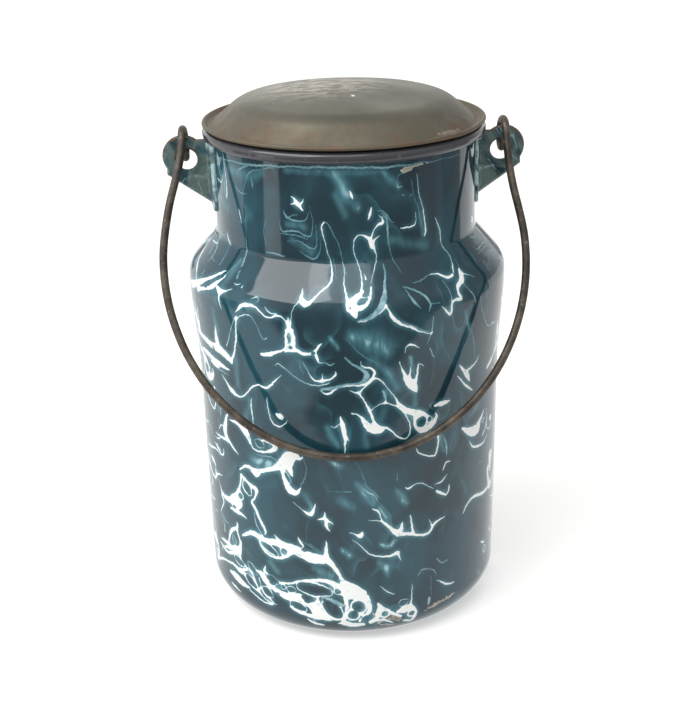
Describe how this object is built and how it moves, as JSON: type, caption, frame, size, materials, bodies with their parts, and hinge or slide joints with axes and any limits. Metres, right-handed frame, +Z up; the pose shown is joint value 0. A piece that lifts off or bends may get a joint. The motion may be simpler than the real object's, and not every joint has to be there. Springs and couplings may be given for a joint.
{
  "type": "lidded milk pail",
  "caption": "Small enamelled milk pail with a straight neck, a swinging wire bail hooked into welded ears and a lift-off tinplate lid.",
  "frame": {"origin": "centre of the flat base, on the surface that the pail stands on", "axes": "+Z up along the pail's axis; the two ears lie along X; the bail leans on the front of the body at -Y"},
  "size_m": [0.1485, 0.1327, 0.2206],
  "materials": {
    "enamel": "glossy teal enamel with white swirl veins on steel sheet",
    "tin": "dull tarnished tinplate",
    "iron": "dark wire with a little rust"
  },
  "bodies": {
    "pail": {"pail_body": "enamel", "rim_wire": "iron", "left_ear": "enamel", "right_ear": "enamel"},
    "bail": {"bail": "iron"},
    "lid": {"lid_top": "tin", "lid_collar": "tin"}
  },
  "joints": [
    {"name": "bail_swing", "type": "hinge", "parent": "pail", "child": "bail", "pos_m": [0, 0, 0.19905], "axis": [-1, 0, 0], "range_deg": [0, 270]},
    {"name": "lid_lift", "type": "slide", "parent": "pail", "child": "lid", "axis": [0, 0, 1], "range_m": [0, 0.08]}
  ]
}
